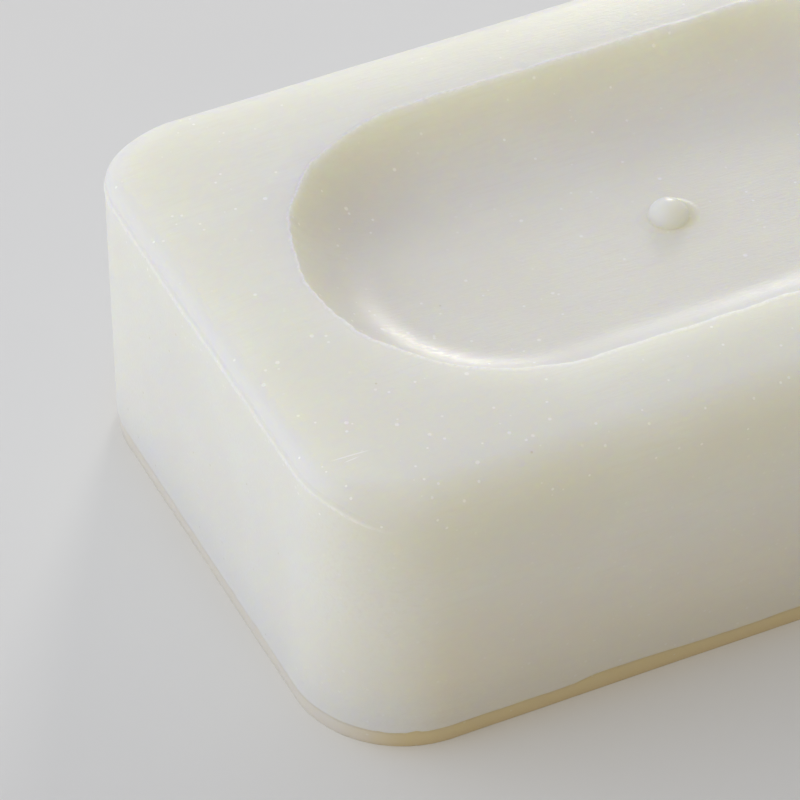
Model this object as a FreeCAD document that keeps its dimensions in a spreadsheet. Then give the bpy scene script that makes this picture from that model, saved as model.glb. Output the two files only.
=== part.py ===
import FreeCAD, Part
import Sketcher
import math
import os

# A moulded bar of soap, in one piece. The origin is at the middle of the base, with the length
# along X, the width along Y and Z up. Lengths are in millimetres.

DRIVING_SIZES = [
    ("bar_length", 92.0),
    ("bar_width", 58.0),
    ("bar_height", 30.1),
    ("corner_radius", 10.0),
    # below a crisp line near the base, the wall leans in to the foot
    ("foot_height", 2.2),
    ("foot_inset", 0.45),
    # the top edge is rounded more along the sides than along the ends
    ("side_rounding", 4.2),
    ("end_rounding", 2.2),
    # the hollow in the top has round ends, and its wall curves into a flat floor
    ("hollow_length", 71.0),
    ("hollow_width", 38.0),
    ("hollow_depth", 5.1),
    ("hollow_wall_radius", 9.0),
    # the nub is a ball, sunk to its middle in the hollow's floor
    ("nub_diameter", 3.7),
]

NEAR = 1e-5
DOWN = -math.pi / 2

# how a sketch's constraints name its upright axis, its origin, and the points of a line or an arc
Y_AXIS = -2
ORIGIN = (-1, 1)
START, END, CENTRE = 1, 2, 3


def make_sheet(doc):
    """Puts each driving size in a row of its own: its name, and a cell with its value."""
    sheet = doc.addObject("Spreadsheet::Sheet", "sizes")
    for row, (name, value) in enumerate(DRIVING_SIZES, start=1):
        sheet.set("A%d" % row, name)
        sheet.set("B%d" % row, str(value))
        sheet.setAlias("B%d" % row, name)
    doc.recompute()
    return sheet


def attached_sketch(body, name, role):
    """A sketch on one of the body's own origin planes."""
    plane = next(item for item in body.Origin.OriginFeatures if item.Role == role)
    sketch = body.newObject("Sketcher::SketchObject", name)
    sketch.AttachmentSupport = [(plane, "")]
    sketch.MapMode = "FlatFace"
    return sketch


def add_line(sketch, start, end):
    return sketch.addGeometry(Part.LineSegment(FreeCAD.Vector(*start), FreeCAD.Vector(*end)), False)


def add_arc(sketch, centre, radius, first_angle, last_angle):
    circle = Part.Circle(FreeCAD.Vector(*centre), FreeCAD.Vector(0, 0, 1), radius)
    return sketch.addGeometry(Part.ArcOfCircle(circle, first_angle, last_angle), False)


def constrain(sketch, kind, *places):
    sketch.addConstraint(Sketcher.Constraint(kind, *places))


def dimension(sketch, kind, *places, size):
    """Adds a dimension at its present size, and ties it to the sheet."""
    value = float(sketch.evalExpression(size))
    index = sketch.addConstraint(Sketcher.Constraint(kind, *places, value))
    sketch.setExpression("Constraints[%d]" % index, size)


def add_block(body, sheet):
    """The oblong block, with its four upright edges rounded."""
    half_x = sheet.bar_length / 2
    half_y = sheet.bar_width / 2
    sketch = attached_sketch(body, "block_outline", "XY_Plane")
    front = add_line(sketch, (-half_x, -half_y), (half_x, -half_y))
    right = add_line(sketch, (half_x, -half_y), (half_x, half_y))
    back = add_line(sketch, (half_x, half_y), (-half_x, half_y))
    left = add_line(sketch, (-half_x, half_y), (-half_x, -half_y))
    for line, following in ((front, right), (right, back), (back, left), (left, front)):
        constrain(sketch, "Coincident", line, END, following, START)
    for line in (front, back):
        constrain(sketch, "Horizontal", line)
    for line in (right, left):
        constrain(sketch, "Vertical", line)
    constrain(sketch, "Symmetric", front, START, back, START, *ORIGIN)
    dimension(sketch, "DistanceX", front, START, front, END, size="sizes.bar_length")
    dimension(sketch, "DistanceY", right, START, right, END, size="sizes.bar_width")

    block = body.newObject("PartDesign::Pad", "block")
    block.Profile = sketch
    block.setExpression("Length", "sizes.bar_height")
    body.Document.recompute()

    upright = [
        "Edge%d" % number
        for number, edge in enumerate(block.Shape.Edges, start=1)
        if abs(edge.Vertexes[0].Z - edge.Vertexes[1].Z) > NEAR
    ]
    rounded = body.newObject("PartDesign::Fillet", "block_corners")
    rounded.Base = (block, upright)
    rounded.setExpression("Radius", "sizes.corner_radius")
    body.Document.recompute()
    return rounded


def straight_edges(shape, height, axis, distance):
    """Numbers of the straight edges at this height and this far out along the axis, either way."""
    return [
        number
        for number, edge in enumerate(shape.Edges, start=1)
        if not edge.Degenerated
        and edge.Curve.TypeId.startswith("Part::GeomLine")
        and all(abs(end.Z - height) < NEAR for end in edge.Vertexes)
        and all(abs(abs(getattr(end, axis)) - distance) < NEAR for end in edge.Vertexes)
    ]


def add_foot(body, sheet, block):
    """Leans the wall in below the crisp line. One edge is named, and the cut runs all round."""
    foot = body.newObject("PartDesign::Chamfer", "foot")
    side_edge = straight_edges(block.Shape, 0.0, "Y", sheet.bar_width / 2)[0]
    foot.Base = (block, ["Edge%d" % side_edge])
    foot.ChamferType = "Two distances"
    foot.setExpression("Size", "sizes.foot_height")
    foot.setExpression("Size2", "sizes.foot_inset")
    body.Document.recompute()
    return foot


def hollow_section(sheet):
    """The hollow's half section: where the rim and the flat end, their heights, the wall's turn."""
    turn = math.acos(1 - sheet.hollow_depth / sheet.hollow_wall_radius)
    rim = sheet.hollow_width / 2
    flat = rim - sheet.hollow_wall_radius * math.sin(turn)
    top = sheet.bar_height
    return rim, flat, top, top - sheet.hollow_depth, turn


def add_hollow_middle(body, sheet):
    """Cuts the hollow's straight stretch, with a curved wall along each side."""
    rim, flat, top, floor, turn = hollow_section(sheet)
    radius = sheet.hollow_wall_radius
    sketch = attached_sketch(body, "hollow_section", "YZ_Plane")
    rim_line = add_line(sketch, (-rim, top), (rim, top))
    floor_line = add_line(sketch, (-flat, floor), (flat, floor))
    right_wall = add_arc(sketch, (flat, floor + radius), radius, DOWN, DOWN + turn)
    left_wall = add_arc(sketch, (-flat, floor + radius), radius, DOWN - turn, DOWN)
    constrain(sketch, "Symmetric", rim_line, START, rim_line, END, Y_AXIS)
    constrain(sketch, "Horizontal", floor_line)
    constrain(sketch, "Tangent", right_wall, START, floor_line, END)
    constrain(sketch, "Tangent", left_wall, END, floor_line, START)
    constrain(sketch, "Coincident", right_wall, END, rim_line, END)
    constrain(sketch, "Coincident", left_wall, START, rim_line, START)
    constrain(sketch, "Equal", right_wall, left_wall)
    dimension(sketch, "Radius", right_wall, size="sizes.hollow_wall_radius")
    dimension(sketch, "DistanceX", rim_line, START, rim_line, END, size="sizes.hollow_width")
    dimension(sketch, "DistanceY", floor_line, END, rim_line, END, size="sizes.hollow_depth")
    dimension(sketch, "DistanceY", *ORIGIN, rim_line, END, size="sizes.bar_height")

    middle = body.newObject("PartDesign::Pocket", "hollow_middle")
    middle.Profile = sketch
    middle.SideType = "Symmetric"
    middle.setExpression("Length", "sizes.hollow_length - sizes.hollow_width")
    body.Document.recompute()
    return middle


def add_hollow_ends(body, sheet):
    """Cuts the hollow's round ends: half the section, turned about an upright line, and its mirror."""
    rim, flat, top, floor, turn = hollow_section(sheet)
    radius = sheet.hollow_wall_radius
    sketch = attached_sketch(body, "hollow_end_section", "XZ_Plane")
    sketch.setExpression("AttachmentOffset.Base.x", "(sizes.hollow_width - sizes.hollow_length) / 2")
    rim_line = add_line(sketch, (0, top), (rim, top))
    middle_line = add_line(sketch, (0, top), (0, floor))
    floor_line = add_line(sketch, (0, floor), (flat, floor))
    wall = add_arc(sketch, (flat, floor + radius), radius, DOWN, DOWN + turn)
    constrain(sketch, "Coincident", rim_line, START, middle_line, START)
    constrain(sketch, "Coincident", middle_line, END, floor_line, START)
    constrain(sketch, "Tangent", wall, START, floor_line, END)
    constrain(sketch, "Coincident", wall, END, rim_line, END)
    constrain(sketch, "PointOnObject", middle_line, START, Y_AXIS)
    constrain(sketch, "Vertical", middle_line)
    constrain(sketch, "Horizontal", rim_line)
    constrain(sketch, "Horizontal", floor_line)
    dimension(sketch, "Radius", wall, size="sizes.hollow_wall_radius")
    dimension(sketch, "DistanceX", rim_line, START, rim_line, END, size="sizes.hollow_width / 2")
    dimension(sketch, "DistanceY", floor_line, END, rim_line, END, size="sizes.hollow_depth")
    dimension(sketch, "DistanceY", *ORIGIN, rim_line, END, size="sizes.bar_height")

    end = body.newObject("PartDesign::Groove", "hollow_end")
    end.Profile = sketch
    end.ReferenceAxis = (sketch, ["V_Axis"])
    end.Angle = 360
    body.Document.recompute()

    other_end = body.newObject("PartDesign::Mirrored", "hollow_other_end")
    plane = next(item for item in body.Origin.OriginFeatures if item.Role == "YZ_Plane")
    other_end.Originals = [end]
    other_end.MirrorPlane = (plane, [""])
    body.Tip = other_end
    body.Document.recompute()
    return other_end


def add_nub(body, sheet):
    """The nub in the middle of the hollow's floor."""
    radius = sheet.nub_diameter / 2
    floor = sheet.bar_height - sheet.hollow_depth
    sketch = attached_sketch(body, "nub_section", "XZ_Plane")
    middle_line = add_line(sketch, (0, floor - radius), (0, floor + radius))
    ball = add_arc(sketch, (0, floor), radius, DOWN, -DOWN)
    constrain(sketch, "Coincident", middle_line, START, ball, START)
    constrain(sketch, "Coincident", middle_line, END, ball, END)
    constrain(sketch, "Vertical", middle_line)
    constrain(sketch, "PointOnObject", middle_line, START, Y_AXIS)
    constrain(sketch, "PointOnObject", ball, CENTRE, Y_AXIS)
    dimension(sketch, "Radius", ball, size="sizes.nub_diameter / 2")
    dimension(
        sketch, "DistanceY", *ORIGIN, ball, CENTRE, size="sizes.bar_height - sizes.hollow_depth"
    )

    nub = body.newObject("PartDesign::Revolution", "nub")
    nub.Profile = sketch
    nub.ReferenceAxis = (sketch, ["V_Axis"])
    nub.Angle = 360
    body.Document.recompute()
    return nub


def add_soap_bar(doc, sheet, body):
    """Rounds the top edge. The radius eases from the sides' to the ends' round each corner."""
    bar = doc.addObject("Part::Fillet", "soap_bar")
    bar.Label = "soap_bar"
    bar.Base = body
    sides = straight_edges(body.Shape, sheet.bar_height, "Y", sheet.bar_width / 2)
    ends = straight_edges(body.Shape, sheet.bar_height, "X", sheet.bar_length / 2)
    bar.Edges = [(number, sheet.side_rounding, sheet.side_rounding) for number in sides] + [
        (number, sheet.end_rounding, sheet.end_rounding) for number in ends
    ]
    doc.recompute()
    return bar


def check_volume(name, before, after, grows):
    """Stops if a feature missed the solid, because one that misses shows no error."""
    change = after.Shape.Volume - before.Shape.Volume
    if (change > 0) != grows or abs(change) < NEAR:
        raise RuntimeError("%s changes the volume by %.3f" % (name, change))


def check_objects(doc):
    for item in doc.Objects:
        if "Invalid" in item.State or "Error" in item.State:
            raise RuntimeError("%s failed: %s" % (item.Name, item.State))


def main():
    doc = FreeCAD.newDocument("soap")
    sheet = make_sheet(doc)
    body = doc.addObject("PartDesign::Body", "bar_blank")
    block = add_block(body, sheet)
    foot = add_foot(body, sheet, block)
    middle = add_hollow_middle(body, sheet)
    ends = add_hollow_ends(body, sheet)
    nub = add_nub(body, sheet)
    bar = add_soap_bar(doc, sheet, body)

    check_volume("foot", block, foot, grows=False)
    check_volume("hollow_middle", foot, middle, grows=False)
    check_volume("hollow_ends", middle, ends, grows=False)
    check_volume("nub", ends, nub, grows=True)
    check_volume("soap_bar", nub, bar, grows=False)
    check_objects(doc)
    if bar.Shape.isNull() or not bar.Shape.isValid():
        raise RuntimeError("the bar's shape isn't valid")

    os.makedirs("parts", exist_ok=True)
    bar.Shape.exportStep("parts/%s.step" % bar.Label)
    box = bar.Shape.optimalBoundingBox(False)
    print("%s: %.2f x %.2f x %.2f mm, %.1f mm3" % (
        bar.Label, box.XLength, box.YLength, box.ZLength, bar.Shape.Volume,
    ))


main()
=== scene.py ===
import math

import bpy
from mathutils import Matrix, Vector, noise


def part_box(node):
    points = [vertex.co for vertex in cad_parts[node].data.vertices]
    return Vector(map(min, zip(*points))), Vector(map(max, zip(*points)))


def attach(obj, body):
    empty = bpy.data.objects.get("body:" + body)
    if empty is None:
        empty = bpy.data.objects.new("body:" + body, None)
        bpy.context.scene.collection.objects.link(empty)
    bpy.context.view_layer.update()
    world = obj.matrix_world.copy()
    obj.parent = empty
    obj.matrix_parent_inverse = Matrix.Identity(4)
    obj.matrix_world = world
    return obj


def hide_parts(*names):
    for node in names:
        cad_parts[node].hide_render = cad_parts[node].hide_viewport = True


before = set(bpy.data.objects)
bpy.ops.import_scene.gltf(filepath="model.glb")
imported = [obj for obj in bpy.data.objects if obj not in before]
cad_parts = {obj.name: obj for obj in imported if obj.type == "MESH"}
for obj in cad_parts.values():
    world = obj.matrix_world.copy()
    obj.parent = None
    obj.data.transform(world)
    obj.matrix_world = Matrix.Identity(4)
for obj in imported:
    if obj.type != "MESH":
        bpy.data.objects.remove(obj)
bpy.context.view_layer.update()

# Lengths are in millimetres, in the frame of the solid: X along the bar, Y across it,
# Z up from the face that it stands on. MM turns them into metres.
MM = 0.001

# A stretch so long that it takes its axis out of a distance
FAR = 1e6

_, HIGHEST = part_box("soap_bar")
HALF_LENGTH = HIGHEST.x / MM
HALF_WIDTH = HIGHEST.y / MM
HEIGHT = HIGHEST.z / MM

# The outline, seen from above. The corners are a little rounder at the foot.
CORNER_RADIUS_LOW = 10.6
CORNER_RADIUS_HIGH = 9.6

# The walls hang back from the box by this much, to leave room for their waves.
WALL_MARGIN = 0.04
WALL_WAVE = 0.05
WALL_WAVE_SIZE = 13.0
WALL_RIPPLE = 0.012
WALL_RIPPLE_SIZE = 3.1

# The foot, set back under a small lip that wanders up and down, shakes finely and has nicks
FOOT_HEIGHT = 2.0
FOOT_INSET = 0.15
FOOT_ROUNDING = 0.02
LIP_ROUNDING = 0.16
LIP_STEP = 0.05
LIP_WANDER = 0.10
LIP_WANDER_SIZE = 9.0
LIP_SHAKE = 0.05
LIP_SHAKE_SIZE = 2.2
LIP_NICK = 0.14
LIP_NICK_SIZE = 1.3

# A long chip out of the front lip: where it starts, is deepest and ends along X, and its height
FRONT_CHIP = (-23.9, -21.1, -9.0, 0.34)

# Small chips out of the lip: place, half width and height
LIP_CHIPS = (
    (-38.9, -28.6, 0.5, 0.30),
    (-46.0, -10.5, 0.8, 0.20),
)

# Painted warm shade on the foot and the lower long sides, which lie in shade: how strong it is just
# above the lip, how high it reaches, and how much weaker it is on the two ends
WARM_SHADE_SPREAD = 0.38
WARM_SHADE_HEIGHT = 20.0
WARM_SHADE_DROP_AT_ENDS = 0.65

# Faint painted warm shade in the hollow, standing in for the light that bounces inside it: full on its floor,
# fading up its wall
HOLLOW_WARM_SHADE = 0.11

# The rounding along the top edge, tight on the two ends and wide on the two long sides
END_ROUNDING = 1.9
SIDE_ROUNDING = 3.7

# The top rises a little from its edge to the rim of the hollow.
CROWN = 0.46
TOP_WAVE = 0.02
TOP_WAVE_SIZE = 11.0
TOP_RIPPLE = 0.006
TOP_RIPPLE_SIZE = 2.6

# The hollow, whose rim is a straight-sided slot with round ends
RIM_RADIUS = 19.0
CAP_PLACE = 16.5
HOLLOW_DEPTH = 5.1
WALL_ARC_RADIUS = 9.0
HOLLOW_WAVE = 0.03
HOLLOW_WAVE_SIZE = 8.0

# The thin burr on the rim, which wanders from side to side
RIM_BURR = 0.16
RIM_BAND = 0.7
RIM_WANDER = 0.20
RIM_WANDER_SIZE = 4.2
RIM_SHAKE = 0.12
RIM_SHAKE_SIZE = 1.4

# Fine ripples of the rim at the left end of the hollow: depth, and radians per millimetre
RIM_RIPPLE = 0.05
RIM_RIPPLE_PITCH = 4.6

# Small pits just outside the rim: depth, size along it, place across it and half width
RIM_PIT = 0.05
RIM_PIT_SIZE = 1.8
RIM_PIT_PLACE = -0.34
RIM_PIT_WIDTH = 0.14

# A notch in the rim: place, half width and depth
RIM_NOTCH = (-28.9, 15.2, 0.9, 0.28)

# The rim's section: how far it lies inside the rim, the share of the burr's height, and the strength of the
# painted highlight
RIM_SECTION = (
    (-RIM_BAND, 0.0, 0.0),
    (-0.42, 0.02, 0.0),
    (-0.28, 0.12, 0.2),
    (-0.18, 0.5, 0.7),
    (-0.09, 0.94, 1.0),
    (0.0, 1.0, 1.0),
    (0.05, 0.6, 1.0),
    (0.09, -0.1, 0.5),
)

# The nub in the middle of the hollow, a round dome that stands a hair above the floor. It is painted
# a little darker than the soap, a painted shade that tones it down, which fades into the floor's
# colour over the width of the blend.
NUB_RADIUS = 1.85
NUB_HEIGHT = 1.62
NUB_RISE = 0.05
NUB_BLEND = 0.2

# The pressed line that runs along each end, at the foot of its rounding
RIDGE_HEIGHT = 0.07
RIDGE_WIDTH = 0.15
GROOVE_DEPTH = 0.08
GROOVE_WIDTH = 0.20
GROOVE_BEHIND_RIDGE = 0.42
LINE_WANDER = 0.10
LINE_WANDER_SIZE = 7.0
LINE_SHAKE = 0.05
LINE_SHAKE_SIZE = 1.5

# Segments round the bar: along one long side, one end and one corner
SIDE_SEGMENTS = 240
END_SEGMENTS = 92
CORNER_SEGMENTS = 34

# Rings up the walls, over the top, down into the hollow and over the nub
WALL_RINGS = 20
STRIP_RINGS = 12
HOLLOW_RINGS = 22
FLOOR_RINGS = 20
NUB_RINGS = 14

# Rings over the rounded top edge: fine ones from just under its foot, then coarse ones
EDGE_START = -0.6
EDGE_STEP = 0.1
EDGE_FINE_RINGS = 16
EDGE_COARSE_RINGS = 13

# Where the underside and the hollow's floor go on with half as many points: the shares of the
# way in to the middle, and the rings of the floor
UNDERSIDE_SHARES = (0.06, 0.25, 0.55)
FLOOR_THINNED_AT = (4, 12)

# Colours are given as they look on screen, from 0 to 255.
SOAP_WARM = (236, 236, 232)
SOAP_PALE = (239, 240, 237)
STREAK_COLOUR = (236, 236, 231)
# Painted warm shade, for the foot, the lower long sides and the hollow
FOOT_SHADE_COLOUR = (231, 211, 164)
# Painted shade for the nub, a little darker than the soap
NUB_SHADE_COLOUR = (230, 229, 224)
# Painted shade for the rounding of the ends
END_ROUNDING_SHADE_COLOUR = (230, 230, 231)
# Pale crumbs, painted white, which also stand in as painted glints
CRUMB_AND_GLINT_COLOUR = (255, 255, 254)
# Painted shade for the small pits
PIT_SHADE_COLOUR = (224, 221, 210)
# Painted highlight on the ridge and the rim's burr, and the colour of the scratches
HIGHLIGHT_AND_SCRATCH_COLOUR = (253, 253, 254)

# How far light of each colour wanders inside the soap
SOAP_REACH = 13.0
SOAP_REACH_SHARES = (1.0, 0.85, 0.24)

# The share of the light that goes inside at the floor, and the height from which all of it does
FOOT_INSIDE_SHARE = 0.2
FOOT_INSIDE_HEIGHT = 6.0

SOAP_IOR = 1.45
SOAP_SPECULAR = 0.3
ROUGHNESS_LOW = 0.28
ROUGHNESS_HIGH = 0.42
GRAIN_DEPTH = 0.025

# The size of each pattern of the material along X, Y and Z
CLOUD_SIZE = (14.0, 11.0, 12.0)
STREAK_SIZE = (3.5, 0.3, 0.45)
CROWD_SIZE = (16.0, 9.0, 9.0)
BROKEN_SIZE = (0.5, 0.3, 0.3)
GRAIN_SIZE = (0.9, 0.25, 0.25)

# Crumbs, painted white, partly pale crumbs and partly painted glints, and pits, painted darker as
# painted shade: the cell that holds one at most, its size, the share of cells that hold one, and a
# shift that keeps the patterns apart
SMALL_CRUMBS_AND_GLINTS = (0.9, 0.17, 0.25, 0.0)
LARGE_CRUMBS_AND_GLINTS = (2.0, 0.25, 0.18, 40.0)
PITS = (1.7, 0.14, 0.025, 80.0)

# Between these heights the pale crumbs and their painted glints change from few, on the walls, to many, on
# the top.
CRUMB_AND_GLINT_HEIGHTS = (24.0, 26.0)
CRUMBS_AND_GLINTS_ON_WALLS = 0.2

# Crumbs and their painted glints are thick along the front edge of the top, from the first place along Y
# outwards.
SCUFF_BAND = (-23.0, -19.0)

# Two fine scratches near the left front corner of the top: start, end and half width
SCRATCHES = (
    (-43.4, -20.8, -39.6, -21.1, 0.09),
    (-42.4, -21.5, -40.8, -21.4, 0.07),
)

# How far up and down from the top the mask of a scratch reaches
SCRATCH_HALF_HEIGHT = 5.0

# The floor, a hair under the bar so that the two don't share a plane
FLOOR_TONE = 228
FLOOR_SPREAD = 1
FLOOR_GRAIN_SIZE = (60.0, 60.0, 60.0)
FLOOR_ROUGHNESS = 0.6
FLOOR_SPECULAR = 0.2
FLOOR_DROP = 0.01
FLOOR_REACH = 3000.0

# The surround: its bright side lies at this azimuth, measured from +X towards +Y, and elevation.
SURROUND_AZIMUTH = 104.0
SURROUND_ELEVATION = 45.0
SURROUND_LOW = -0.8
SURROUND_HIGH = 0.8
WARM_SIDE = (0.87, 0.73, 0.44)
COOL_SIDE = (1.01, 1.03, 1.11)
FILL_LEVEL = 0.52

# The key, a large soft panel
KEY_COLOUR = (0.97, 1.0, 1.03)
KEY_LEVEL = 0.265
KEY_AZIMUTH = 165.0
KEY_ELEVATION = 33.0
KEY_DISTANCE = 520.0
KEY_SIZE = 700.0

# A small low panel behind the bar, which makes the gloss on the near side of the hollow
GLOSS_COLOUR = (1.0, 0.97, 0.88)
GLOSS_LEVEL = 0.083
GLOSS_AZIMUTH = 59.0
GLOSS_ELEVATION = 19.0
GLOSS_DISTANCE = 600.0
GLOSS_SIZE = 120.0

# The camera, found from the outline of the bar, the rim, the nub and the line along the left end
CAMERA_LENS = 266.56
CAMERA_SENSOR = 36.0
CAMERA_AZIMUTH = 244.370
CAMERA_ELEVATION = 41.966
CAMERA_DISTANCE = 550.014
CAMERA_TARGET = Vector((-20.895, 12.230, 1.0))

# The nearest and the farthest that the camera sees, in metres
CAMERA_NEAR = 0.01
CAMERA_FAR = 20.0

# The step in the noise from one layer to the next
LAYER_STEP = Vector((31.7, 17.3, 53.9))

# The Mix node's sockets for colours
MIX_FIRST = 6
MIX_SECOND = 7
MIX_RESULT = 2


def smooth(low, high, value):
    """0 below low, 1 above high, and an even S between them."""
    share = min(1.0, max(0.0, (value - low) / (high - low)))
    return share * share * (3.0 - 2.0 * share)


def hump(distance, width):
    """A bell of height 1 at distance 0, nearly gone at two widths."""
    return math.exp(-((distance / width) ** 2))


def wave(place, size, layer):
    """Smooth noise from -1 to 1 with bumps about size across. Each layer is a different noise."""
    return noise.noise(Vector(place) / size + LAYER_STEP * layer)


class Spot:
    """One place on the way round the bar, the same on every ring of the mesh."""

    def __init__(self, share_x, share_y, angle):
        self.share_x = share_x
        self.share_y = share_y
        self.out_x = math.cos(angle)
        self.out_y = math.sin(angle)
        x, y = self.outline(CORNER_RADIUS_HIGH, 0.0)
        self.cap_x = min(CAP_PLACE, max(-CAP_PLACE, x))
        reach = math.hypot(x - self.cap_x, y)
        self.rim_x = (x - self.cap_x) / reach
        self.rim_y = y / reach
        self.rim_distance = reach - RIM_RADIUS
        # 1 on the ends and 0 on the long sides
        end_share = smooth(0.0, 1.0, self.out_x ** 2)
        self.rounding = SIDE_ROUNDING + (END_ROUNDING - SIDE_ROUNDING) * end_share
        # The slope of the top where it meets the rounding, and the height where the rounding starts
        self.slope = math.atan(2.0 * CROWN / (self.rim_distance - self.rounding))
        self.rounding_foot = HEIGHT - RIM_BURR - CROWN - self.rounding

    def outline(self, corner_radius, inset):
        """The outline's point, pushed in by inset along its normal."""
        x = self.share_x * (HALF_LENGTH - WALL_MARGIN - corner_radius)
        y = self.share_y * (HALF_WIDTH - WALL_MARGIN - corner_radius)
        return x + self.out_x * (corner_radius - inset), y + self.out_y * (corner_radius - inset)

    def rim(self, inset):
        """The rim's point, pushed in by inset along its normal."""
        radius = RIM_RADIUS - inset
        return self.cap_x + self.rim_x * radius, self.rim_y * radius


def spots_round():
    """The spots, anticlockwise from the left of the front side."""
    spots = []
    for side in range(4):
        along = SIDE_SEGMENTS if side % 2 == 0 else END_SEGMENTS
        facing = (side - 1) * math.pi / 2
        for step in range(along):
            share = 2.0 * step / along - 1.0
            share_x = (share, 1.0, -share, -1.0)[side]
            share_y = (-1.0, share, 1.0, -share)[side]
            spots.append(Spot(share_x, share_y, facing))
        corner_x = (1.0, 1.0, -1.0, -1.0)[side]
        corner_y = (-1.0, 1.0, 1.0, -1.0)[side]
        for step in range(CORNER_SEGMENTS):
            angle = facing + math.pi / 2 * step / CORNER_SEGMENTS
            spots.append(Spot(corner_x, corner_y, angle))
    return spots


class Skin:
    """The closed mesh of the bar, made of rings. Each point has three values from 0 to 1: a painted
    highlight, a painted warm shade and a painted shade on the rounding of the ends.
    """

    def __init__(self):
        self.points = []
        self.edge_highlight = []
        self.tan = []
        self.end_rounding_shade = []
        self.faces = []

    def ring(self, points, edge_highlight=None, tan=None, end_rounding_shade=None):
        """Adds a ring of points and gives their numbers."""
        first = len(self.points)
        self.points.extend(points)
        self.edge_highlight.extend(edge_highlight or [0.0] * len(points))
        self.tan.extend(tan or [0.0] * len(points))
        self.end_rounding_shade.extend(end_rounding_shade or [0.0] * len(points))
        return list(range(first, len(self.points)))

    def stitch(self, outer, inner):
        """Joins two rings with as many points."""
        count = len(outer)
        for spot in range(count):
            following = (spot + 1) % count
            self.faces.append((outer[spot], outer[following], inner[following], inner[spot]))

    def halve(self, outer, inner):
        """Joins a ring to one with half as many points."""
        count = len(inner)
        for spot in range(count):
            following = (spot + 1) % count
            left = outer[2 * spot]
            middle = outer[2 * spot + 1]
            right = outer[(2 * spot + 2) % (2 * count)]
            self.faces.append((left, middle, inner[spot]))
            self.faces.append((middle, inner[following], inner[spot]))
            self.faces.append((middle, right, inner[following]))

    def close(self, ring, point):
        """Closes the mesh with a fan to one point."""
        tip = self.ring([point])[0]
        for spot, start in enumerate(ring):
            self.faces.append((start, ring[(spot + 1) % len(ring)], tip))


def wall_point(spot, height, inset):
    """A point of the wall, with the wall's shallow waves pressed into it."""
    radius = CORNER_RADIUS_LOW + (CORNER_RADIUS_HIGH - CORNER_RADIUS_LOW) * height / HEIGHT
    x, y = spot.outline(radius, inset)
    place = (x, y, height)
    dip = WALL_WAVE * (1.0 + wave(place, WALL_WAVE_SIZE, 1))
    dip += WALL_RIPPLE * (1.0 + wave(place, WALL_RIPPLE_SIZE, 2))
    x, y = spot.outline(radius, inset + dip)
    return x, y, height


def lip_height(spot):
    """The lip wanders up and down a little and has small nicks."""
    x, y = spot.outline(CORNER_RADIUS_LOW, 0.0)
    place = (x, y, 0.0)
    height = FOOT_HEIGHT
    height += LIP_WANDER * wave(place, LIP_WANDER_SIZE, 3) + LIP_SHAKE * wave(place, LIP_SHAKE_SIZE, 5)
    height += LIP_NICK * smooth(0.45, 0.75, wave(place, LIP_NICK_SIZE, 4))
    for chip_x, chip_y, wide, tall in LIP_CHIPS:
        height += tall * hump(math.hypot(x - chip_x, y - chip_y), wide)
    if y < -CORNER_RADIUS_LOW:
        start, deepest, end, tall = FRONT_CHIP
        height += tall * smooth(start, deepest, x) * (1.0 - smooth(deepest, end, x))
    return height


def warm_shade_at(spot, height, is_foot):
    """Painted warm shade on the foot, which also spreads faintly up the long sides."""
    if is_foot:
        return 1.0 - WARM_SHADE_DROP_AT_ENDS * smooth(0.35, 0.95, abs(spot.out_x))
    spread = WARM_SHADE_SPREAD * (1.0 - smooth(0.0, WARM_SHADE_HEIGHT, height))
    return spread * (1.0 - WARM_SHADE_DROP_AT_ENDS * smooth(0.0, 0.6, abs(spot.out_x)))


def foot_rings(spots):
    """From the face that the bar stands on, up to just under the lip."""
    rings = []
    for turn in (0.0, 30.0, 60.0, 90.0):
        angle = math.radians(turn)
        height = FOOT_ROUNDING * (1.0 - math.cos(angle))
        inset = FOOT_INSET + LIP_STEP + FOOT_ROUNDING * (1.0 - math.sin(angle))
        rings.append([wall_point(spot, height, inset) for spot in spots])
    for share in (0.25, 0.5, 0.75, 1.0):
        inset = FOOT_INSET * (1.0 - share) + LIP_STEP
        ring = []
        for spot in spots:
            climb = lip_height(spot) - LIP_ROUNDING - FOOT_ROUNDING
            ring.append(wall_point(spot, FOOT_ROUNDING + share * climb, inset))
        rings.append(ring)
    return rings


def lip_rings(spots):
    """The lip, a small rounded edge."""
    rings = []
    for turn in (30.0, 60.0, 90.0):
        angle = math.radians(turn)
        drop = LIP_ROUNDING * math.cos(angle)
        inset = LIP_STEP * (1.0 - math.sin(angle))
        rings.append([wall_point(spot, lip_height(spot) - drop, inset) for spot in spots])
    return rings


def wall_rings(spots):
    """The upright walls, from the lip to just under the rounding."""
    rings = []
    for step in range(1, WALL_RINGS):
        ring = []
        for spot in spots:
            low = lip_height(spot)
            high = spot.rounding_foot + EDGE_START
            ring.append(wall_point(spot, low + (high - low) * step / WALL_RINGS, 0.0))
        rings.append(ring)
    return rings


def edge_line(spot, run, place):
    """How far the pressed line along an end stands out, at a distance run along the section,
    and how strong the painted highlight on it is there."""
    share = smooth(0.3, 0.85, abs(spot.out_x))
    run -= LINE_WANDER * wave(place, LINE_WANDER_SIZE, 6) + LINE_SHAKE * wave(place, LINE_SHAKE_SIZE, 7)
    crisp = min(1.0, 0.75 + 0.5 * wave(place, 2.3, 8) + 0.4 * wave(place, 0.9, 17))
    ridge = crisp * hump(run, RIDGE_WIDTH)
    groove = hump(run - GROOVE_BEHIND_RIDGE, GROOVE_WIDTH)
    return share * (RIDGE_HEIGHT * ridge - GROOVE_DEPTH * groove), share * min(1.0, ridge)


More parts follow.
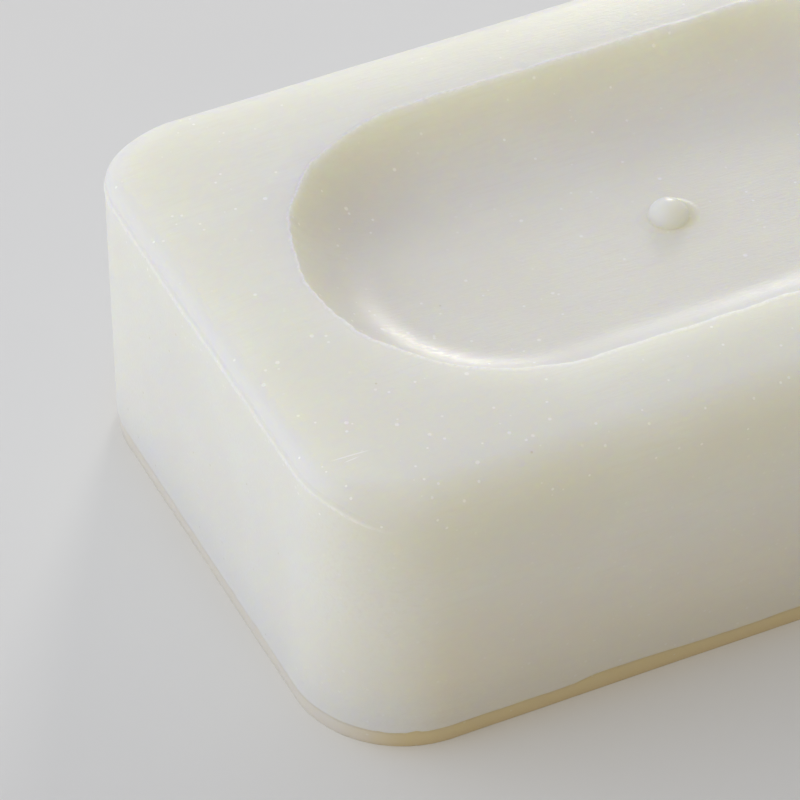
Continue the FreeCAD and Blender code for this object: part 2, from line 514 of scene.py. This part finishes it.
def rounding_point(spot, run):
    """A point of the rounded top edge, at a distance run past its foot, and the painted highlight there."""
    turn = max(0.0, run / spot.rounding)
    inset = spot.rounding * (1.0 - math.cos(turn))
    height = spot.rounding_foot + min(run, spot.rounding * math.sin(turn))
    relief, edge_highlight = edge_line(spot, run, wall_point(spot, height, inset))
    x, y, _ = wall_point(spot, height, inset - relief * math.cos(turn))
    return (x, y, height + relief * math.sin(turn)), edge_highlight


def end_rounding_shade_at(spot, run):
    """Painted shade over the rounding above the line, on the ends only, to tone down the light it catches."""
    whole = spot.rounding * math.pi / 2
    across = smooth(0.1, 0.5, run) * (1.0 - smooth(0.65 * whole, 1.05 * whole, run))
    return across * smooth(0.3, 0.85, abs(spot.out_x))


def rounding_rings(spots):
    """The rounded top edge: fine rings over the pressed line, then even steps to the top."""
    rings = []
    for step in range(EDGE_FINE_RINGS):
        run = EDGE_START + EDGE_STEP * step
        rings.append([(*rounding_point(spot, run), end_rounding_shade_at(spot, run)) for spot in spots])
    start = EDGE_START + EDGE_STEP * (EDGE_FINE_RINGS - 1)
    for step in range(1, EDGE_COARSE_RINGS + 1):
        ring = []
        for spot in spots:
            whole = spot.rounding * (math.pi / 2 - spot.slope)
            run = start + (whole - start) * step / EDGE_COARSE_RINGS
            ring.append((*rounding_point(spot, run), end_rounding_shade_at(spot, run)))
        rings.append(ring)
    return rings


def top_dip(x, y):
    """How far the waves of the top lie under its even form."""
    place = (x, y, 0.0)
    dip = TOP_WAVE * (1.0 + wave(place, TOP_WAVE_SIZE, 9))
    return dip + TOP_RIPPLE * (1.0 + wave(place, TOP_RIPPLE_SIZE, 10))


def strip_rings(spots):
    """The flat-looking top between the rounding and the rim."""
    starts = [rounding_point(spot, spot.rounding * (math.pi / 2 - spot.slope))[0] for spot in spots]
    rings = []
    for step in range(1, STRIP_RINGS):
        share = step / STRIP_RINGS
        ring = []
        for spot, (start_x, start_y, start_height) in zip(spots, starts):
            end_x, end_y = spot.rim(-RIM_BAND)
            x = start_x + (end_x - start_x) * share
            y = start_y + (end_y - start_y) * share
            rise = HEIGHT - RIM_BURR - start_height
            height = start_height + rise * (2.0 * share - share * share)
            ring.append((x, y, height - top_dip(x, y) * smooth(0.0, 0.2, share)))
        rings.append(ring)
    return rings


def rim_wander(x, y):
    """Sideways shakes of the rim, with fine ripples and a notch at the left end of the hollow."""
    place = (x, y, 0.0)
    ripple = RIM_RIPPLE * math.sin(y * RIM_RIPPLE_PITCH + 1.5 * wave(place, 2.0, 15))
    ripple *= smooth(-30.5, -33.5, x)
    notch_x, notch_y, wide, deep = RIM_NOTCH
    notch = deep * hump(math.hypot(x - notch_x, y - notch_y), wide)
    shake = RIM_WANDER * wave(place, RIM_WANDER_SIZE, 11) + RIM_SHAKE * wave(place, RIM_SHAKE_SIZE, 12)
    return shake + ripple - notch


def rim_rings(spots):
    """The sharp rim with its thin burr, and small pits just outside it."""
    rings = []
    for across, rise, edge_highlight in RIM_SECTION:
        ring = []
        for spot in spots:
            x, y = spot.rim(0.0)
            place = (x, y, 0.0)
            shake = rim_wander(x, y) * smooth(-RIM_BAND, -0.2, across)
            burr = RIM_BURR * min(1.0, 0.7 + 0.45 * wave(place, 1.3, 13) + 0.35 * wave(place, 4.0, 16))
            pit = RIM_PIT * smooth(0.1, 0.5, wave(place, RIM_PIT_SIZE, 18))
            pit *= hump(across - RIM_PIT_PLACE, RIM_PIT_WIDTH)
            x, y = spot.rim(across + shake)
            height = HEIGHT - RIM_BURR - top_dip(x, y) + burr * rise - pit
            ring.append(((x, y, height), edge_highlight * burr / RIM_BURR))
        rings.append(ring)
    return rings


def floor_height(x, y):
    """The height of the hollow's floor, with its shallow waves."""
    return HEIGHT - HOLLOW_DEPTH + HOLLOW_WAVE * wave((x, y, 0.0), HOLLOW_WAVE_SIZE, 14)


def hollow_rings(spots):
    """The wall of the hollow, an arc that runs out level into the floor."""
    full = math.acos(1.0 - HOLLOW_DEPTH / WALL_ARC_RADIUS)
    reach = WALL_ARC_RADIUS * math.sin(full)
    rings = []
    for step in range(1, HOLLOW_RINGS + 1):
        share = step / HOLLOW_RINGS
        turn = full * (1.0 - share)
        inset = reach - WALL_ARC_RADIUS * math.sin(turn)
        climb = WALL_ARC_RADIUS * (1.0 - math.cos(turn))
        fade = smooth(0.0, 0.35, share)
        ring = []
        for spot in spots:
            x, y = spot.rim(0.0)
            shake = rim_wander(x, y) * (1.0 - share) ** 2
            x, y = spot.rim(inset + shake)
            level = HEIGHT - HOLLOW_DEPTH + (floor_height(x, y) - HEIGHT + HOLLOW_DEPTH) * fade
            ring.append((x, y, level + climb - (RIM_BURR + 2.0 * TOP_WAVE) * (1.0 - fade)))
        rings.append(ring)
    return rings


def nub_turn(index, count):
    """The angle at the nub that faces the spot with this index."""
    return -math.pi / 2 + 2.0 * math.pi * (index - SIDE_SEGMENTS / 2) / count


def floor_point(spot, index, count, share):
    """A point of the hollow's floor, from its edge at share 0 to the foot of the nub at share 1."""
    full = math.acos(1.0 - HOLLOW_DEPTH / WALL_ARC_RADIUS)
    x, y = spot.rim(WALL_ARC_RADIUS * math.sin(full))
    turn = nub_turn(index, count)
    x += (NUB_RADIUS * math.cos(turn) - x) * share
    y += (NUB_RADIUS * math.sin(turn) - y) * share
    return x, y, floor_height(x, y)


def add_underside(skin, spots, edge):
    """The face that the bar stands on, in to its middle."""
    edge = [edge[0]] + edge[:0:-1]
    inset = FOOT_INSET + LIP_STEP + FOOT_ROUNDING
    left = spots
    for share in UNDERSIDE_SHARES:
        left = left[::2]
        ring = []
        for spot in [left[0]] + left[:0:-1]:
            x, y, _ = wall_point(spot, 0.0, inset)
            ring.append((x * (1.0 - share), y * (1.0 - share), 0.0))
        smaller = skin.ring(ring)
        skin.halve(edge, smaller)
        edge = smaller
    skin.close(edge, (0.0, 0.0, 0.0))


def add_hollow_floor(skin, spots, edge):
    """The floor of the hollow, in to the nub, and the nub on it."""
    count = len(spots)
    indices = list(range(count))
    for step in range(1, FLOOR_RINGS + 1):
        thin_out = step in FLOOR_THINNED_AT
        if thin_out:
            indices = indices[::2]
        share = step / FLOOR_RINGS
        points = [floor_point(spots[index], index, count, share) for index in indices]
        # Painted warm shade on the hollow's floor
        ring = skin.ring(points, tan=[HOLLOW_WARM_SHADE] * len(points))
        if thin_out:
            skin.halve(edge, ring)
        else:
            skin.stitch(edge, ring)
        edge = ring
    base = HEIGHT - HOLLOW_DEPTH + NUB_RISE
    for step in range(NUB_RINGS):
        lift = math.pi / 2 * step / NUB_RINGS
        radius = NUB_RADIUS * math.cos(lift)
        height = base + NUB_HEIGHT * math.sin(lift)
        turns = [nub_turn(index, count) for index in indices]
        smaller = skin.ring([(radius * math.cos(turn), radius * math.sin(turn), height) for turn in turns])
        skin.stitch(edge, smaller)
        edge = smaller
    skin.close(edge, (0.0, 0.0, base + NUB_HEIGHT))


def build_skin():
    """The whole mesh, from the underside up the walls, over the top and down into the hollow."""
    spots = spots_round()
    skin = Skin()
    made = []
    foot = foot_rings(spots)
    for number, points in enumerate(foot + lip_rings(spots) + wall_rings(spots)):
        is_foot = number < len(foot)
        # Painted warm shade on the foot and the lower long sides
        tan = [warm_shade_at(spot, point[2], is_foot) for spot, point in zip(spots, points)]
        made.append(skin.ring(points, tan=tan))
    # The rounding carries the painted highlight on the pressed line and the painted shade on the ends
    for ring in rounding_rings(spots):
        points, edge_highlight, end_rounding_shade = zip(*ring)
        made.append(skin.ring(points, edge_highlight, end_rounding_shade=end_rounding_shade))
    made += [skin.ring(points) for points in strip_rings(spots)]
    # The rim, with the painted highlight on its burr
    for ring in rim_rings(spots):
        made.append(skin.ring([point for point, _ in ring], [edge_highlight for _, edge_highlight in ring]))
    for step, points in enumerate(hollow_rings(spots), 1):
        # Painted warm shade up the hollow's wall, fading towards the rim
        made.append(skin.ring(points, tan=[HOLLOW_WARM_SHADE * step / HOLLOW_RINGS] * len(points)))
    for lower, upper in zip(made, made[1:]):
        skin.stitch(lower, upper)
    add_underside(skin, spots, made[0])
    add_hollow_floor(skin, spots, made[-1])
    return skin


def make_object(name, points, faces, material):
    mesh = bpy.data.meshes.new(name)
    mesh.from_pydata([(x * MM, y * MM, z * MM) for x, y, z in points], [], faces)
    mesh.materials.append(material)
    mesh.polygons.foreach_set("use_smooth", [True] * len(mesh.polygons))
    mesh.update()
    made = bpy.data.objects.new(name, mesh)
    bpy.context.scene.collection.objects.link(made)
    return made


def add_attribute(made, name, values):
    attribute = made.data.attributes.new(name, "FLOAT", "POINT")
    attribute.data.foreach_set("value", values)


def new_material(name):
    material = bpy.data.materials.new(name)
    material.use_nodes = True
    tree = material.node_tree
    return material, tree, tree.nodes["Principled BSDF"]


def linear(red, green, blue):
    """A colour given as it looks on screen, from 0 to 255, as the shader takes it."""
    channels = []
    for value in (red, green, blue):
        share = value / 255.0
        channels.append(share / 12.92 if share <= 0.04045 else ((share + 0.055) / 1.055) ** 2.4)
    return (*channels, 1.0)


def node(tree, kind, **settings):
    made = tree.nodes.new(kind)
    for name, value in settings.items():
        setattr(made, name, value)
    return made


def coordinates(tree, stretch):
    """Object coordinates in millimetres, divided by a stretch along each axis."""
    source = node(tree, "ShaderNodeTexCoord")
    scaled = node(tree, "ShaderNodeMapping")
    scaled.inputs["Scale"].default_value = [1.0 / (MM * size) for size in stretch]
    tree.links.new(source.outputs["Object"], scaled.inputs["Vector"])
    return scaled.outputs["Vector"]


def noise_node(tree, stretch, detail, roughness=0.5):
    """Smooth noise with bumps of these sizes along each axis, in millimetres."""
    made = node(tree, "ShaderNodeTexNoise")
    made.inputs["Scale"].default_value = 1.0
    made.inputs["Detail"].default_value = detail
    made.inputs["Roughness"].default_value = roughness
    tree.links.new(coordinates(tree, stretch), made.inputs["Vector"])
    return made.outputs["Fac"]


def remap(tree, value, from_low, from_high, to_low, to_high):
    """An even S from one range to another, level outside the first."""
    made = node(tree, "ShaderNodeMapRange", interpolation_type="SMOOTHSTEP")
    made.inputs["From Min"].default_value = from_low
    made.inputs["From Max"].default_value = from_high
    made.inputs["To Min"].default_value = to_low
    made.inputs["To Max"].default_value = to_high
    tree.links.new(value, made.inputs["Value"])
    return made.outputs["Result"]


def combine(tree, operation, first, second):
    """Two values in one sum. Each is a number or a socket."""
    made = node(tree, "ShaderNodeMath", operation=operation)
    for socket, value in zip(made.inputs, (first, second)):
        if isinstance(value, float):
            socket.default_value = value
        else:
            tree.links.new(value, socket)
    return made.outputs["Value"]


def mix_colours(tree, factor, first, second):
    """The first colour where factor is 0 and the second where it is 1."""
    made = node(tree, "ShaderNodeMix", data_type="RGBA")
    tree.links.new(factor, made.inputs["Factor"])
    for socket, colour in ((made.inputs[MIX_FIRST], first), (made.inputs[MIX_SECOND], second)):
        if isinstance(colour, tuple):
            socket.default_value = colour
        else:
            tree.links.new(colour, socket)
    return made.outputs[MIX_RESULT]


def add_bump(tree, height, distance):
    made = node(tree, "ShaderNodeBump")
    made.inputs["Distance"].default_value = distance * MM
    tree.links.new(height, made.inputs["Height"])
    return made.outputs["Normal"]


def grain_mask(tree, cell, size, share, shift):
    """Scattered round grains, from 0 to 1: one in each cell, of which only a share is kept."""
    source = node(tree, "ShaderNodeTexCoord")
    placed = node(tree, "ShaderNodeMapping")
    placed.inputs["Scale"].default_value = [1.0 / (MM * cell)] * 3
    placed.inputs["Location"].default_value = (shift, shift, shift)
    tree.links.new(source.outputs["Object"], placed.inputs["Vector"])
    grains = node(tree, "ShaderNodeTexVoronoi")
    grains.inputs["Scale"].default_value = 1.0
    tree.links.new(placed.outputs["Vector"], grains.inputs["Vector"])
    radius = size / cell
    grain = remap(tree, grains.outputs["Distance"], 0.6 * radius, radius, 1.0, 0.0)
    pick = node(tree, "ShaderNodeSeparateColor")
    tree.links.new(grains.outputs["Color"], pick.inputs["Color"])
    kept = remap(tree, pick.outputs["Red"], 0.99 - share, 1.0 - share, 0.0, 1.0)
    return combine(tree, "MULTIPLY", grain, kept)


def scratch_mask(tree, start_x, start_y, end_x, end_y, half_width):
    """One straight scratch on the top, from 0 to 1."""
    length = math.hypot(end_x - start_x, end_y - start_y)
    source = node(tree, "ShaderNodeTexCoord")
    placed = node(tree, "ShaderNodeMapping", vector_type="TEXTURE")
    middle = Vector(((start_x + end_x) / 2, (start_y + end_y) / 2, HEIGHT))
    placed.inputs["Location"].default_value = middle * MM
    placed.inputs["Rotation"].default_value = (0.0, 0.0, math.atan2(end_y - start_y, end_x - start_x))
    placed.inputs["Scale"].default_value = (length / 2 * MM, half_width * MM, SCRATCH_HALF_HEIGHT * MM)
    tree.links.new(source.outputs["Object"], placed.inputs["Vector"])
    far = node(tree, "ShaderNodeVectorMath", operation="LENGTH")
    tree.links.new(placed.outputs["Vector"], far.inputs[0])
    return remap(tree, far.outputs["Value"], 0.5, 1.1, 1.0, 0.0)


def soap_material():
    """Creamy soap with cloudy tones and streaks, pale crumbs that also stand in as painted glints, pits with
    painted shade, painted warm shade on the foot and the hollow, painted shade on the nub and the ends'
    rounding, and painted highlights on the rim and the pressed line. Light wanders inside.
    """
    material, tree, shader = new_material("soap")
    place = node(tree, "ShaderNodeSeparateXYZ")
    tree.links.new(coordinates(tree, (1.0, 1.0, 1.0)), place.inputs["Vector"])
    height = place.outputs["Z"]
    clouds = remap(tree, noise_node(tree, CLOUD_SIZE, 3.0), 0.3, 0.7, 0.0, 1.0)
    colour = mix_colours(tree, clouds, linear(*SOAP_WARM), linear(*SOAP_PALE))
    streaks = noise_node(tree, STREAK_SIZE, 3.0, 0.6)
    colour = mix_colours(tree, remap(tree, streaks, 0.4, 0.8, 0.0, 1.0), colour, linear(*STREAK_COLOUR))

    # Painted warm shade on the foot, the lower long sides and the hollow, and painted shade on the rounding
    # of the ends
    tan = node(tree, "ShaderNodeAttribute", attribute_name="tan")
    colour = mix_colours(tree, tan.outputs["Fac"], colour, linear(*FOOT_SHADE_COLOUR))
    end_rounding_shade = node(tree, "ShaderNodeAttribute", attribute_name="end_rounding_shade")
    colour = mix_colours(tree, end_rounding_shade.outputs["Fac"], colour, linear(*END_ROUNDING_SHADE_COLOUR))

    # Painted shade on the nub, a little darker than the soap, by its distance from the middle of the bar as
    # seen from above
    away = node(tree, "ShaderNodeVectorMath", operation="LENGTH")
    tree.links.new(coordinates(tree, (1.0, 1.0, FAR)), away.inputs[0])
    on_nub = remap(tree, away.outputs["Value"], NUB_RADIUS, NUB_RADIUS + NUB_BLEND, 1.0, 0.0)
    colour = mix_colours(tree, on_nub, colour, linear(*NUB_SHADE_COLOUR))

    # Pale crumbs, painted white, partly crumbs and partly painted glints, thicker in some places than in
    # others, and a few small pits, painted darker as painted shade
    crowd = remap(tree, noise_node(tree, CROWD_SIZE, 1.0), 0.40, 0.60, 0.2, 1.0)
    crowd = combine(tree, "MAXIMUM", crowd, remap(tree, place.outputs["Y"], *SCUFF_BAND, 1.0, 0.0))
    small = combine(tree, "MULTIPLY", grain_mask(tree, *SMALL_CRUMBS_AND_GLINTS), crowd)
    large = grain_mask(tree, *LARGE_CRUMBS_AND_GLINTS)
    crumbs_and_glints = combine(tree, "MAXIMUM", small, large)
    crumbs_and_glints = combine(tree, "MULTIPLY", crumbs_and_glints, remap(tree, height, *CRUMB_AND_GLINT_HEIGHTS, CRUMBS_AND_GLINTS_ON_WALLS, 1.0))
    # Painted shade in small pits
    pit_shade = grain_mask(tree, *PITS)
    colour = mix_colours(tree, pit_shade, colour, linear(*PIT_SHADE_COLOUR))
    colour = mix_colours(tree, crumbs_and_glints, colour, linear(*CRUMB_AND_GLINT_COLOUR))

    # Painted highlight on the ridge and the rim's burr, in fine broken grains, and the scratches, which are
    # paler marks in the soap
    edge_highlight = node(tree, "ShaderNodeAttribute", attribute_name="edge_highlight")
    broken = noise_node(tree, BROKEN_SIZE, 2.0)
    highlight_and_scratches = combine(tree, "MULTIPLY", edge_highlight.outputs["Fac"], remap(tree, broken, 0.35, 0.6, 0.3, 1.0))
    for scratch in SCRATCHES:
        highlight_and_scratches = combine(tree, "MAXIMUM", highlight_and_scratches, scratch_mask(tree, *scratch))
    colour = mix_colours(tree, highlight_and_scratches, colour, linear(*HIGHLIGHT_AND_SCRATCH_COLOUR))
    tree.links.new(colour, shader.inputs["Base Color"])

    # Less light gets lost inside just above the floor
    inside = remap(tree, height, 0.0, FOOT_INSIDE_HEIGHT, FOOT_INSIDE_SHARE, 1.0)
    tree.links.new(inside, shader.inputs["Subsurface Weight"])
    shader.inputs["Subsurface Radius"].default_value = SOAP_REACH_SHARES
    shader.inputs["Subsurface Scale"].default_value = SOAP_REACH * MM
    shader.inputs["IOR"].default_value = SOAP_IOR
    shader.inputs["Specular IOR Level"].default_value = SOAP_SPECULAR
    grain = noise_node(tree, GRAIN_SIZE, 2.0, 0.6)
    roughness = remap(tree, grain, 0.3, 0.7, ROUGHNESS_LOW, ROUGHNESS_HIGH)
    tree.links.new(roughness, shader.inputs["Roughness"])

    tree.links.new(add_bump(tree, grain, GRAIN_DEPTH), shader.inputs["Normal"])
    return material


def floor_material():
    material, tree, shader = new_material("floor")
    speckle = remap(tree, noise_node(tree, FLOOR_GRAIN_SIZE, 2.0), 0.3, 0.7, 0.0, 1.0)
    dark = linear(*[FLOOR_TONE - FLOOR_SPREAD] * 3)
    pale = linear(*[FLOOR_TONE + FLOOR_SPREAD] * 3)
    tree.links.new(mix_colours(tree, speckle, dark, pale), shader.inputs["Base Color"])
    shader.inputs["Roughness"].default_value = FLOOR_ROUGHNESS
    shader.inputs["Specular IOR Level"].default_value = FLOOR_SPECULAR
    return material


def make_floor():
    corners = ((-1.0, -1.0), (1.0, -1.0), (1.0, 1.0), (-1.0, 1.0))
    points = [(x * FLOOR_REACH, y * FLOOR_REACH, -FLOOR_DROP) for x, y in corners]
    floor = make_object("floor", points, [(0, 1, 2, 3)], floor_material())


def direction(azimuth, elevation):
    """The unit vector towards a place at this azimuth, from +X towards +Y, and elevation."""
    turn = math.radians(azimuth)
    rise = math.radians(elevation)
    return Vector((math.cos(turn) * math.cos(rise), math.sin(turn) * math.cos(rise), math.sin(rise)))


def make_world():
    """A soft surround, paler and cooler on one side, dimmer and warmer on the other."""
    world = bpy.data.worlds.new("studio")
    world.use_nodes = True
    tree = world.node_tree
    background = tree.nodes["Background"]
    source = node(tree, "ShaderNodeTexCoord")
    along = node(tree, "ShaderNodeVectorMath", operation="DOT_PRODUCT")
    along.inputs[1].default_value = direction(SURROUND_AZIMUTH, SURROUND_ELEVATION)
    tree.links.new(source.outputs["Generated"], along.inputs[0])
    share = remap(tree, along.outputs["Value"], SURROUND_LOW, SURROUND_HIGH, 0.0, 1.0)
    colour = mix_colours(tree, share, (*WARM_SIDE, 1.0), (*COOL_SIDE, 1.0))
    tree.links.new(colour, background.inputs["Color"])
    background.inputs["Strength"].default_value = FILL_LEVEL
    bpy.context.scene.world = world


def make_panel(name, azimuth, elevation, distance, size, level, colour):
    """A square soft light that faces the bar. By itself it lights a level white surface at level."""
    data = bpy.data.lights.new(name, "AREA")
    data.shape = "SQUARE"
    data.size = size * MM
    data.color = colour
    towards = direction(azimuth, elevation)
    data.energy = level * math.pi * math.pi * (distance * MM) ** 2 / towards.z
    lamp = bpy.data.objects.new(name, data)
    lamp.location = towards * distance * MM
    lamp.rotation_mode = "QUATERNION"
    lamp.rotation_quaternion = towards.to_track_quat("Z", "Y")
    bpy.context.scene.collection.objects.link(lamp)


def make_camera():
    data = bpy.data.cameras.new("camera")
    data.lens = CAMERA_LENS
    data.sensor_width = CAMERA_SENSOR
    data.clip_start = CAMERA_NEAR
    data.clip_end = CAMERA_FAR
    camera = bpy.data.objects.new("camera", data)
    towards = direction(CAMERA_AZIMUTH, CAMERA_ELEVATION)
    camera.location = (CAMERA_TARGET + towards * CAMERA_DISTANCE) * MM
    camera.rotation_mode = "QUATERNION"
    camera.rotation_quaternion = towards.to_track_quat("Z", "Y")
    bpy.context.scene.collection.objects.link(camera)
    bpy.context.scene.camera = camera


def main():
    bpy.context.scene.view_settings.view_transform = "Standard"
    skin = build_skin()
    bar = make_object("soap_bar_surface", skin.points, skin.faces, soap_material())
    # The painted highlight, the painted warm shade and the painted shade on the ends, for the material
    add_attribute(bar, "edge_highlight", skin.edge_highlight)
    add_attribute(bar, "tan", skin.tan)
    add_attribute(bar, "end_rounding_shade", skin.end_rounding_shade)
    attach(bar, "root")
    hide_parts("soap_bar")
    make_floor()
    make_world()
    make_panel("key", KEY_AZIMUTH, KEY_ELEVATION, KEY_DISTANCE, KEY_SIZE, KEY_LEVEL, KEY_COLOUR)
    make_panel("gloss", GLOSS_AZIMUTH, GLOSS_ELEVATION, GLOSS_DISTANCE, GLOSS_SIZE, GLOSS_LEVEL, GLOSS_COLOUR)
    make_camera()


main()
